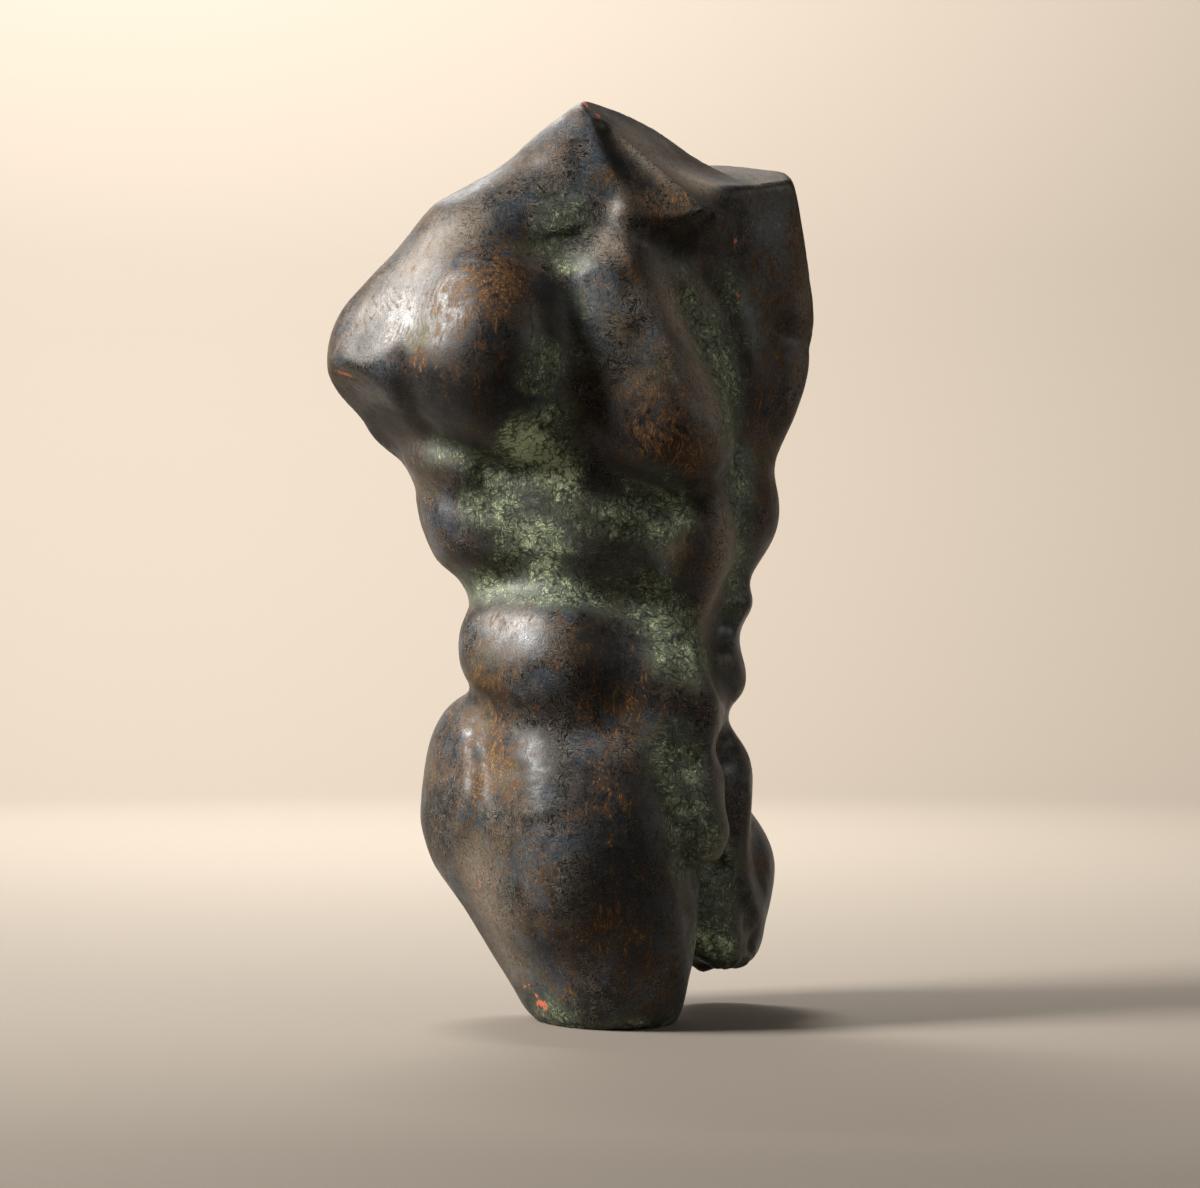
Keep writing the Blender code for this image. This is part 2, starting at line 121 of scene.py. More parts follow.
def left_thigh(p):
    shape = roll(p, (6.0, 4.4, 0.5), (5.4, 3.8, 13.5), 3.2, 3.8)
    shape = merge(shape, lump(p, (5.7, 3.6, 15.6), (3.8, 3.6, 4.0)), 1.0)
    shape = slice_off(shape, p, (9.4, 4.4, 15.0), (0.95, 0.3, 0.08), 0.3)
    shape = merge(shape, roll(p, (6.8, 6.6, 2.5), (6.8, 7.2, 9.4), 3.3, 4.2), 0.7)
    shape = merge(shape, roll(p, (6.6, 6.8, 9.0), (3.4, 5.8, 15.0), 4.1, 4.6), 1.5)
    shape = slice_off(shape, p, (10.1, 6.4, 3.4), (0.8, 0.0, -0.6), 0.8)
    shape = slice_off(shape, p, (7.0, 6.0, 2.7), (0.05, -0.1, -1.0), 1.0)
    shape = slice_off(shape, p, (5.6, 0.8, 4.0), (-0.5, -0.2, -0.85), 0.5)
    return shape


def waist(p):
    shape = lump(p, (-0.2, 1.8, 24.0), (8.0, 6.0, 8.0))
    shape = merge(shape, lump(p, (-4.3, 0.2, 24.2), (5.5, 6.0, 5.3), (0, 4, 20)), 1.0)
    shape = merge(shape, lump(p, (-2.6, -1.2, 23.0), (6.0, 5.2, 4.6), (0, 12, 14)), 1.0)
    shape = slice_off(shape, p, (-6.3, -4.6, 25.2), (-0.52, -0.80, 0.28), 1.5)
    shape = merge(shape, lump(p, (2.0, -1.6, 21.2), (5.4, 4.1, 4.8), (0, 4, 0)), 2.6)
    shape = merge(shape, lump(p, (4.5, -1.6, 20.4), (2.5, 3.6, 3.4), (0, 6, 0)), 0.9)
    shape = merge(shape, roll(p, (5.4, 3.4, 36.0), (4.3, 3.2, 19.0), 4.9, 3.5), 1.2)
    shape = merge(shape, lump(p, (5.4, 2.4, 22.2), (3.6, 4.2, 3.2), (0, 0, 10)), 1.0)
    shape = merge(shape, lump(p, (5.6, 2.6, 27.6), (3.9, 4.2, 2.0), (0, 8, 10)), 1.0)
    return shape


def ribcage(p):
    shape = lump(p, (-0.4, 1.2, 34.6), (8.8, 7.0, 9.6), (0, -4, 0))
    shape = merge(shape, lump(p, (-7.4, 2.0, 34.2), (5.3, 6.0, 7.8), (0, -14, 0)), 1.2)
    shape = merge(shape, lump(p, (4.9, -1.3, 31.4), (3.3, 4.1, 4.4), (0, 4, 0)), 1.2)
    shape = merge(shape, lump(p, (7.0, 2.6, 33.4), (4.3, 4.6, 4.4), (0, 6, 0)), 1.0)
    return shape


def chest(p):
    shape = lump(p, (0.4, -0.8, 42.5), (7.6, 6.2, 10.5), (0, -6, 0))
    shape = merge(shape, lump(p, (3.3, -3.2, 38.4), (4.9, 4.7, 5.4), (0, -10, 0)), 1.8)
    shape = slice_off(shape, p, (2.2, -7.4, 45.5), (0.78, -0.42, 0.46), 0.5)
    return shape


def back(p):
    shape = lump(p, (-0.4, 2.6, 42.0), (11.0, 5.8, 11.5), (0, -8, 0))
    shape = merge(shape, lump(p, (-6.4, 5.0, 43.0), (4.2, 3.4, 6.4), (10, 14, 0)), 0.9)
    shape = merge(shape, lump(p, (5.6, 5.6, 44.5), (4.4, 3.6, 6.6), (10, -12, 0)), 0.9)
    shape = merge(shape, roll(p, (0.4, 2.0, 53.5), (0.0, 5.2, 45.0), 3.8, 2.4), 1.5)
    shape = merge(shape, roll(p, (-2.1, 5.0, 44.0), (-3.2, 5.0, 21.0), 2.4, 2.6), 1.2)
    shape = merge(shape, roll(p, (2.3, 5.2, 44.0), (1.4, 5.8, 21.0), 2.4, 2.6), 1.2)
    shape = merge(shape, roll(p, (7.4, 4.6, 42.0), (4.0, 5.0, 26.0), 4.6, 3.0), 2.0)
    shape = merge(shape, roll(p, (-8.6, 3.4, 40.0), (-5.2, 4.6, 25.0), 4.8, 3.0), 2.0)
    return shape


def right_shoulder(p):
    shape = roll(p, (-12.7, -1.9, 43.6), (-7.8, -0.8, 48.8), 5.1, 5.2)
    shape = merge(shape, roll(p, (-7.8, -0.6, 48.8), (-3.1, 0.0, 52.8), 5.0, 4.0), 1.5)
    shape = merge(shape, roll(p, (-14.0, -0.6, 42.2), (-9.9, 1.0, 38.2), 4.0, 5.1), 2.0)
    shape = merge(shape, roll(p, (-13.6, 2.2, 38.6), (-7.2, -0.2, 36.6), 2.2, 2.2), 1.2)
    shape = merge(shape, lump(p, (-7.7, -3.5, 43.0), (5.8, 6.2, 7.0)), 0.9)
    shape = slice_off(shape, p, (-14.2, -5.2, 45.8), (-0.56, -0.75, 0.29), 0.9)
    soft = np.interp(p[:, 0], (-16.0, -10.0), (0.2, 2.2))
    return slice_off(shape, p, (-17.9, -2.0, 42.0), (-0.58, -0.33, -0.74), soft)


def neck(p):
    shape = roll(p, (-3.0, 0.2, 52.6), (-0.8, -1.0, 57.8), 4.1, 2.1)
    shape = merge(shape, lump(p, (1.8, 0.8, 53.4), (7.2, 5.6, 5.4), (0, 41, 0)), 1.0)
    shape = merge(shape, roll(p, (-1.2, -1.4, 57.0), (5.6, -2.6, 51.8), 1.6, 2.0), 1.2)
    shape = merge(shape, roll(p, (1.5, -4.3, 51.9), (5.8, -3.8, 52.1), 1.3, 1.1), 0.6)
    shape = press(shape, roll(p, (0.0, -3.4, 57.8), (3.6, -8.0, 54.6), 0.9, 4.5), 0.5)
    shape = slice_off(shape, p, (-1.75, -1.0, 59.95), (0.53, -0.42, 0.74), 0.08)
    return shape


def left_shoulder(p):
    shape = lump(p, (6.8, 3.6, 46.0), (8.4, 6.6, 13.0))
    shape = slice_off(shape, p, (11.9, 1.0, 55.0), (-0.04, -0.35, 0.93), 0.3)
    shape = slice_off(shape, p, (9.0, -0.2, 46.0), (0.45, -0.85, -0.05), 0.4)
    shape = slice_off(shape, p, (13.0, 3.0, 50.0), (0.97, 0.1, 0.18), 0.4)
    shape = slice_off(shape, p, (12.9, 3.0, 40.5), (0.98, 0.0, -0.16), 0.6)
    shape = slice_off(shape, p, (11.4, 3.0, 37.6), (0.8, 0.0, -0.6), 1.5)
    shape = slice_off(shape, p, (11.0, 8.0, 47.0), (0.65, 0.75, 0.1), 2.5)
    shape = press(shape, lump(p, (11.4, -2.8, 52.8), (2.0, 2.7, 1.7), (0, 30, 0)), 0.6)
    return shape


def masses(p):
    """Distance from points to the big forms of the torso, in centimetres, negative inside the clay."""
    shape = merge(pelvis(p), right_thigh(p), 2.2)
    shape = merge(shape, left_thigh(p), 0.8)
    shape = merge(shape, waist(p), 1.2)
    shape = merge(shape, ribcage(p), 1.6)
    shape = merge(shape, back(p), 1.6)
    shape = merge(shape, left_shoulder(p), 1.0)
    shape = merge(shape, chest(p), 1.2)
    shape = merge(shape, neck(p), 2.0)
    shape = merge(shape, right_shoulder(p), np.interp(p[:, 2], (44, 49), (1.4, 3.4)))
    shape = press(shape, roll(p, (6.4, -4.6, 51.5), (3.6, -6.6, 49.5), 0.5, 2.2), 0.3)
    return shape


FRONT = -1
BACK = 1


def rounded(path, rounds=2):
    """The path with its corners cut, so that a stroke runs in one curve."""
    for _ in range(rounds):
        inner = [a * (1 - t) + b * t for a, b in zip(path, path[1:]) for t in (0.25, 0.75)]
        path = np.array([path[0], *inner, path[-1]])
    return path


def lay(path, side):
    """Lays a path drawn in X and Z on the front or the back of the masses."""
    points = rounded(np.array([(x, side * 14.0, z) for x, z in path]))
    for _ in range(40):
        points[:, 1] = np.clip(points[:, 1] - side * 0.8 * masses(points), -14, 14)
    return points


def along(p, path, reach):
    """1 on a path and 0 at its reach and beyond, tapering to its ends; a distance in Y counts half."""
    scale = np.array([1.0, 0.5, 1.0])
    value = np.zeros(len(p))
    close = np.flatnonzero(((p > path.min(0) - 2 * reach) & (p < path.max(0) + 2 * reach)).all(1))
    if not len(close):
        return value
    q = p[close] * scale
    away = np.full(len(close), 1e9)
    place = np.zeros(len(close))
    steps = len(path) - 1
    for i, (start, end) in enumerate(zip(path * scale, path[1:] * scale)):
        run = end - start
        t = np.clip((q - start) @ run / max(run @ run, 1e-9), 0, 1)
        d = np.linalg.norm(q - start - t[:, None] * run, axis=1)
        nearer = d < away
        away[nearer] = d[nearer]
        place[nearer] = (i + t[nearer]) / steps
    ends = np.clip(np.minimum(place, 1 - place) * 3, 0, 1)
    value[close] = np.clip(1 - away / reach, 0, 1) * ends * ends * (3 - 2 * ends)
    return value


def strokes():
    """The modeller's strokes: side, reach, rise, and path in X and Z. A fall is pressed in."""
    return [
        # right breast: the crease round it
        (FRONT, 3.0, -0.3, [(-9.4, 50.2), (-7.2, 50.2), (-4.8, 49.6), (-2.9, 48.2), (-2.0, 46.4),
            (-1.8, 44.2), (-2.6, 41.8), (-4.2, 39.6)]),
        (FRONT, 1.8, 0.6, [(-13.8, 36.8), (-12.0, 36.2), (-10.2, 35.6), (-8.0, 34.8)]),
        (FRONT, 1.7, -0.35, [(-13.2, 35.0), (-11.0, 34.2), (-8.6, 33.2), (-6.6, 33.0)]),
        # throat and collar bones
        (FRONT, 3.0, 0.18, [(-3.0, 53.0), (-2.8, 51.4), (-2.6, 50.4)]),
        (FRONT, 3.5, 0.55, [(-2.6, 47.2), (0.2, 48.5), (1.9, 48.4), (3.0, 46.9), (3.8, 44.0)]),
        # left breast: its outer edge and the edge of the hollow beyond
        (FRONT, 1.6, 0.35, [(2.0, 47.6), (2.9, 44.4), (4.2, 42.8), (5.9, 41.6), (6.6, 40.2), (7.0, 38.4),
            (6.4, 35.4)]),
        (FRONT, 1.4, 0.35, [(1.0, 49.6), (3.8, 48.4), (5.4, 47.0), (6.8, 45.0), (7.3, 43.4), (7.5, 41.4),
            (7.5, 37.8)]),
        (FRONT, 1.9, -0.7, [(-1.5, 38.4), (-0.3, 35.6), (1.0, 34.2), (2.9, 33.4), (5.1, 33.4),
            (6.8, 35.0)]),
        # armpit fold
        (FRONT, 1.6, -0.4, [(5.8, 51.4), (6.2, 48.2), (7.2, 45.8), (8.0, 43.4), (8.2, 41.0), (8.3, 37.6),
            (8.4, 32.0)]),
        # ribs to groin: the front edge
        (FRONT, 1.5, 0.45, [(6.0, 36.2), (7.2, 33.0), (7.5, 31.0), (7.0, 29.0), (6.0, 27.0),
            (4.8, 24.8)]),
        (FRONT, 1.4, 0.5, [(4.6, 25.6), (5.2, 23.6), (6.1, 21.8), (6.5, 20.2), (6.4, 18.4), (6.1, 16.4),
            (6.4, 14.4), (7.0, 12.6), (6.9, 11.6), (6.0, 11.1), (4.8, 10.7)]),
        (FRONT, 1.7, -1.0, [(9.2, 31.0), (8.7, 29.0), (7.9, 27.2), (7.0, 25.4), (6.8, 24.0), (7.4, 22.4),
            (8.2, 20.8), (8.6, 18.6)]),
        (FRONT, 1.5, -0.35, [(6.6, 25.2), (5.0, 24.6), (3.4, 25.0), (1.6, 26.2)]),
        (FRONT, 1.2, -1.1, [(5.2, 9.3), (6.4, 9.8), (7.7, 10.8)]),
        (FRONT, 1.0, 0.4, [(4.8, 10.9), (6.0, 11.2), (7.0, 12.0), (7.2, 13.4)]),
        (FRONT, 1.8, -0.4, [(8.6, 17.9), (7.0, 17.6), (5.4, 17.2), (3.6, 17.6)]),
        # waist
        (FRONT, 2.4, -0.4, [(-13.5, 28.7), (-10.2, 28.6), (-7.0, 28.4), (-3.5, 28.0), (1.0, 27.0)]),
        (FRONT, 2.2, -0.32, [(-11.4, 22.6), (-9.6, 21.2), (-8.0, 20.2), (-6.5, 19.5), (-5.0, 18.9),
            (-3.2, 18.6), (0.0, 18.4), (3.5, 18.4)]),
        (FRONT, 3.4, -0.4, [(0.6, 31.0), (0.9, 27.0), (0.9, 22.4), (0.2, 18.0)]),
        # right hip
        (FRONT, 1.3, 0.24, [(-9.4, 18.6), (-8.9, 16.6), (-9.3, 13.7), (-9.9, 11.0)]),
        (FRONT, 2.2, -0.14, [(-8.3, 20.0), (-7.9, 18.4), (-7.6, 16.8)]),
        (FRONT, 2.8, 0.16, [(-4.9, 16.6), (-4.7, 13.0)]),
        (FRONT, 3.0, 0.12, [(-9.6, 21.6), (-9.2, 18.6), (-9.0, 16.3), (-9.6, 13.4), (-9.4, 11.0),
            (-7.6, 6.5)]),
        (FRONT, 3.4, -0.12, [(-8.6, 23.0), (-7.6, 19.6), (-7.3, 17.0), (-7.4, 12.0)]),
        # groin
        (FRONT, 1.8, -0.4, [(2.2, 19.0), (2.8, 16.0), (3.8, 13.2), (4.8, 10.6), (5.2, 8.0), (5.2, 2.0)]),
        # back: the spine, the cleft and the folds under the buttocks
        (BACK, 2.4, -0.9, [(0.4, 50.0), (0.2, 46.0), (-0.2, 40.0), (-0.6, 34.0), (-1.0, 28.0),
            (-1.4, 22.0), (-2.0, 18.0)]),
        (BACK, 1.8, -1.4, [(-1.6, 20.0), (-3.0, 17.5), (-3.6, 14.5), (-3.4, 11.5), (-2.0, 8.0)]),
        (BACK, 2.0, -0.5, [(-10.4, 9.6), (-8.0, 8.6), (-5.6, 8.6), (-3.4, 9.6)]),
        # left shoulder: the nick in its outer edge
        (FRONT, 1.6, -0.4, [(10.6, 45.2), (12.4, 44.6), (13.6, 44.0)]),
        # left thigh
        (FRONT, 1.1, 0.55, [(9.2, 17.0), (9.0, 13.6), (8.7, 11.2), (8.9, 9.0), (9.6, 7.2), (10.2, 5.0)]),
    ]


STROKES = [(lay(path, side), reach, rise) for side, reach, rise, path in strokes()]


def torso(p):
    """Distance from points to the finished torso."""
    shape = masses(p)
    for path, reach, rise in STROKES:
        near = along(p, path, reach)
        shape = shape - rise * near * near * (3 - 2 * near)
    return slice_off(shape, p, (0, 0, -0.4), DOWN, 1.6)


def sampled(form, axes, band):
    """The form on a grid: every third point first, then all the points near the surface."""
    n = [len(a) for a in axes]
    coarse = [a[::3] for a in axes]
    grid = np.stack(np.meshgrid(*coarse, indexing="ij"), -1)
    value = form(grid.reshape(-1, 3)).reshape(grid.shape[:3])
    for axis in range(3):
        value = np.repeat(value, 3, axis)
    more = [(0, max(0, k - m)) for k, m in zip(n, value.shape)]
    value = np.pad(value, more, mode="edge")[: n[0], : n[1], : n[2]]
    i, j, k = np.nonzero(np.abs(value) < band)
    near = np.stack([axes[0][i], axes[1][j], axes[2][k]], 1)
    batches = np.array_split(near, max(1, len(near) // 100000))
    value[i, j, k] = np.concatenate([form(some) for some in batches])
    return value


def skin(form, low, high, step):
    """Points and quads of the surface where form is zero, by surface nets on a grid of this step."""
    axes = [np.arange(a, b + step, step) for a, b in zip(low, high)]
    n = [len(a) for a in axes]
    value = sampled(form, axes, 5.5 * step)
    inside = value < 0
    total = np.zeros([k - 1 for k in n] + [3])
    count = np.zeros([k - 1 for k in n])
    corners = [(i, j, k) for i in (0, 1) for j in (0, 1) for k in (0, 1)]

    def window(field, c):
        return field[c[0] : n[0] - 1 + c[0], c[1] : n[1] - 1 + c[1], c[2] : n[2] - 1 + c[2]]

    for a in corners:
        for axis in range(3):
            if a[axis]:
                continue
            b = tuple(1 if m == axis else a[m] for m in range(3))
            va = window(value, a)
            vb = window(value, b)
            crossing = window(inside, a) != window(inside, b)
            t = np.where(crossing, va / np.where(crossing, va - vb, 1), 0)
            point = np.stack([np.full(t.shape, float(a[m])) if m != axis else t for m in range(3)], -1)
            total += point * crossing[..., None]
            count += crossing
    used = count > 0
    number = np.full(used.shape, -1)
    number[used] = np.arange(used.sum())
    cell = np.argwhere(used)
    points = (cell + total[used] / count[used][:, None]) * step + np.array(low)
    quads = []
    for axis in range(3):
        u, v = (axis + 1) % 3, (axis + 2) % 3
        lower = np.take(inside, range(n[axis] - 1), axis)
        upper = np.take(inside, range(1, n[axis]), axis)
        edges = np.argwhere(lower != upper)
        clear_of_low = (edges[:, u] > 0) & (edges[:, v] > 0)
        clear_of_high = (edges[:, u] < n[u] - 1) & (edges[:, v] < n[v] - 1)
        edges = edges[clear_of_low & clear_of_high]
        starts_inside = lower[tuple(edges.T)]
        around = []
        for du, dv in ((1, 1), (0, 1), (0, 0), (1, 0)):
            corner = edges.copy()
            corner[:, u] -= du
            corner[:, v] -= dv
            around.append(number[tuple(corner.T)])
        quad = np.stack(around, 1)
        quad[~starts_inside] = quad[~starts_inside][:, ::-1]
        quads.append(quad)
    return points, np.concatenate(quads)


def settle(points, form, rounds=3, h=0.02):
    """Moves points onto the surface along its slope."""
    for _ in range(rounds):
        d = form(points)
        rise = [form(points + h * e) - form(points - h * e) for e in np.eye(3)]
        slope = np.stack(rise, 1) / (2 * h)
        points = points - (d / np.maximum((slope**2).sum(1), 0.05))[:, None] * slope
    return points


# The worked skin: what fingers, tools and the wire leave on the big forms.
def unevenness(p, size, seed):
    """Smooth noise from -1 to 1 at the points p, with lumps of about this size in centimetres."""
    table = np.random.RandomState(seed).uniform(-1, 1, (32, 32, 32))
    cell = np.floor(p / size).astype(int)
    t = p / size - cell
    t = t * t * (3 - 2 * t)
    total = np.zeros(len(p))
    for corner in np.ndindex(2, 2, 2):
        share = np.prod(np.where(corner, t, 1 - t), axis=1)
        total += table[tuple(((cell + corner) % 32).T)] * share
    return total


def slopes(p, h=0.05):
    """Outward directions of the clay at points on it."""
    slope = np.stack([torso(p + h * e) - torso(p - h * e) for e in np.eye(3)], 1)
    return slope / np.linalg.norm(slope, axis=1)[:, None]


def near_point(p, centre, reach):
    """1 at a point, falling to 0 at its reach."""
    away = np.linalg.norm(p - np.array(centre), axis=1)
    return np.clip(1 - away / reach, 0, 1)


def worked(p):
    """How far the skin stands above the smooth form, in centimetres."""
    fingers = 0.045 * unevenness(p, 3.4, 1) + 0.028 * unevenness(p, 1.6, 2)
    dragged = (p @ rotation((0, 24, 0)) + 0.5 * unevenness(p, 2.5, 3)[:, None]) * (1.0, 1.0, 0.4)
    tools = 0.010 * unevenness(dragged, 0.55, 4)
    stump = near_point(p, (7.4, 3.4, 3.0), 4.6)
    broken = stump * (0.5 * unevenness(p, 1.5, 5) + 0.26 * unevenness(p, 0.7, 6))
    return fingers + tools + broken


points, quads = skin(torso, (-20, -13, -1.5), (15, 14, 62), STEP)
points = settle(points, torso, rounds=2)
outward = slopes(points)
hollow = np.clip(1 - torso(points + 1.6 * outward) / 1.6, 0, 1)
crest = np.clip(1 + torso(points - 0.7 * outward) / 0.7, 0, 1)


# Where each stain lies, and where painted shade and painted light lie: brushed on in strokes laid on the
# front and the back.
def brushed(p, dabs):
    """How much of a layer lies at each point, from dabs given as (side, reach, amount, path in X and Z); the
    layers are stains, painted shade and painted light.
    """
    total = np.zeros(len(p))
    for side, reach, amount, path in dabs:
        near = along(p, lay(path, side), reach)
        total = np.maximum(total, amount * near * near * (3 - 2 * near))
    return total


verdigris = brushed(points, [
    (FRONT, 2.4, 0.62, [(-3.4, 44.0), (-4.4, 41.6), (-5.0, 39.4)]),
    # The caked patch under the right breast is laid on extra thick, so that its chalky green also serves as
    # painted light against the shadow of the breast.
    (FRONT, 3.0, 1.4, [(-7.2, 38.2), (-5.4, 37.2), (-3.4, 35.4), (-1.0, 34.6)]),
    (FRONT, 3.0, 0.6, [(-4.4, 40.0), (-4.2, 37.6), (-3.8, 33.0)]),
    (FRONT, 2.2, 1.1, [(5.0, 6.0), (6.6, 4.8), (8.4, 4.8)]),
    (FRONT, 2.6, 0.5, [(-2.4, 49.4), (-2.0, 47.8)]),
    (FRONT, 6.5, 0.4, [(-8.0, 34.0), (-2.0, 32.0), (4.0, 31.0)]),
    (FRONT, 4.4, 0.7, [(-10.0, 34.6), (-7.2, 34.0), (-5.4, 33.0)]),
    (FRONT, 4.0, 0.88, [(-7.4, 32.0), (-5.0, 30.6), (-2.4, 29.8)]),
    (FRONT, 4.4, 0.62, [(-2.4, 33.0), (1.0, 32.2), (3.6, 33.0), (5.6, 34.0)]),
    (FRONT, 2.6, 0.5, [(-10.8, 28.6), (-6.6, 28.2), (-3.0, 27.9), (2.0, 27.4)]),
    (FRONT, 3.6, 0.66, [(1.6, 30.4), (3.2, 26.6), (4.4, 24.6), (7.0, 21.0)]),
    (FRONT, 4.0, 0.56, [(4.2, 21.0), (4.8, 16.0), (5.6, 13.0), (6.2, 8.0)]),
    (FRONT, 3.4, 0.55, [(8.0, 13.0), (7.2, 9.0), (7.0, 6.0), (7.4, 3.0), (7.0, -0.5)]),
    (FRONT, 2.6, 0.66, [(3.0, 52.0), (4.4, 48.0), (5.8, 45.4), (7.4, 42.0), (8.0, 38.0), (8.2, 33.0),
        (8.4, 27.0), (7.0, 21.0)]),
    (FRONT, 4.0, 0.5, [(-5.4, 51.6), (-3.0, 51.4), (-0.8, 52.4)]),
    (FRONT, 4.4, 0.22, [(-1.6, 47.6), (-1.0, 44.0), (-0.4, 41.0)]),
    (FRONT, 3.0, 0.3, [(-12.0, 38.0), (-10.0, 36.6), (-8.0, 36.4)]),
    (FRONT, 2.6, 0.4, [(7.4, 50.0), (8.4, 46.0), (9.6, 43.0)]),
    (FRONT, 2.6, 0.35, [(-12.8, 44.4), (-10.6, 43.6)]),
    (FRONT, 2.4, 0.75, [(-6.0, 3.6), (-4.4, 1.0), (-2.0, -0.6), (1.0, -0.8), (4.0, -0.4), (6.0, 1.4)]),
    (BACK, 6.0, 0.32, [(0.0, 50.0), (-0.6, 38.0), (-1.0, 28.0), (-2.0, 18.0)]),
    (BACK, 4.5, 0.45, [(-3.0, 18.0), (-2.6, 10.0), (-1.0, 2.0)]),
])
verdigris = np.clip(verdigris + 0.45 * hollow, 0, 2)
rubbed = 0.8 * brushed(points, [
    (FRONT, 5.2, 1.05, [(-12.4, 46.4), (-9.8, 46.2), (-7.0, 46.8), (-4.8, 45.6)]),
    (FRONT, 3.0, 0.8, [(-10.0, 46.8), (-11.4, 43.6), (-12.6, 41.0)]),
    (FRONT, 4.8, 1.15, [(1.6, 36.4), (3.4, 37.8), (5.0, 36.8), (3.8, 35.0)]),
    (FRONT, 1.8, 0.9, [(0.4, 48.6), (1.4, 48.0), (2.0, 46.8)]),
    (FRONT, 3.0, 0.7, [(9.6, 41.0), (9.8, 38.6), (9.8, 34.0), (9.6, 31.0)]),
    (FRONT, 2.8, 0.7, [(3.4, 30.4), (5.2, 30.8), (6.8, 29.6)]),
    (FRONT, 3.0, 0.7, [(-2.4, 20.6), (0.4, 20.4), (3.0, 20.0)]),
    (FRONT, 4.4, 1.0, [(-9.2, 22.0), (-8.2, 19.0), (-7.6, 16.5), (-8.8, 13.6)]),
    (FRONT, 1.6, 0.9, [(-9.0, 23.0), (-8.0, 21.6), (-6.0, 20.6)]),
    (FRONT, 3.6, 0.55, [(-1.0, 17.0), (0.6, 15.0), (1.6, 13.6)]),
    (FRONT, 4.4, 0.45, [(-2.0, 10.0), (0.0, 7.0), (1.0, 4.0)]),
    (FRONT, 2.2, 0.8, [(2.0, 53.0), (3.6, 52.4), (5.4, 52.0)]),
    (FRONT, 3.4, 0.6, [(9.6, 52.0), (10.6, 48.0), (11.0, 42.0), (11.2, 38.0)]),
    (FRONT, 1.4, 0.8, [(12.2, 53.4), (12.8, 49.0), (13.4, 45.0)]),
    (FRONT, 2.4, 0.6, [(8.4, 46.0), (8.8, 43.6)]),
    (BACK, 4.0, 0.7, [(-8.0, 44.0), (-6.0, 40.0)]),
    (BACK, 4.0, 0.7, [(6.0, 45.0), (7.0, 40.0)]),
    (BACK, 5.0, 0.6, [(-7.0, 15.0), (-5.0, 12.0)]),
    (BACK, 4.0, 0.6, [(2.0, 16.0), (4.0, 13.0)]),
])
# A dry greyish film on edges, and painted light as well: it lightens the band beside the left breast, the
# top of the neck's cut and the outer face of the right thigh as if they were lit, and paints highlights on
# the collar bones, the front edge from ribs to belly, the pubic lip and the outer edge of the left shoulder.
dust_and_painted_light = brushed(points, [
    (FRONT, 3.0, 0.45, [(-9.0, 13.0), (-8.4, 9.0), (-6.6, 5.0), (-4.6, 1.6)]),
    (FRONT, 3.2, 1.2, [(2.0, 49.6), (3.4, 47.0), (5.0, 44.6), (6.4, 41.6), (7.2, 38.6), (7.2, 35.0)]),
    (FRONT, 3.0, 0.12, [(-15.6, 39.8), (-13.0, 37.8), (-10.0, 36.2)]),
    (FRONT, 2.4, 0.9, [(0.0, 58.4), (2.6, 56.4), (5.0, 54.6), (8.0, 53.4)]),
    (FRONT, 1.8, 0.5, [(-1.2, 49.9), (0.4, 49.6), (1.8, 49.2)]),
    (FRONT, 2.2, 0.9, [(4.0, 47.6), (5.6, 46.6), (7.2, 44.6)]),
    (FRONT, 2.4, 0.5, [(-14.0, 47.0), (-11.0, 50.0), (-7.0, 52.0)]),
    (FRONT, 1.8, 0.9, [(7.4, 35.6), (7.5, 33.0), (7.4, 30.0), (6.6, 26.6), (5.4, 24.0), (6.6, 20.4)]),
    (FRONT, 1.4, 0.8, [(6.0, 10.6), (7.0, 11.4), (7.3, 13.0)]),
    (FRONT, 1.2, 0.4, [(12.9, 51.0), (13.1, 47.0), (12.7, 42.0), (12.2, 38.0)]),
])
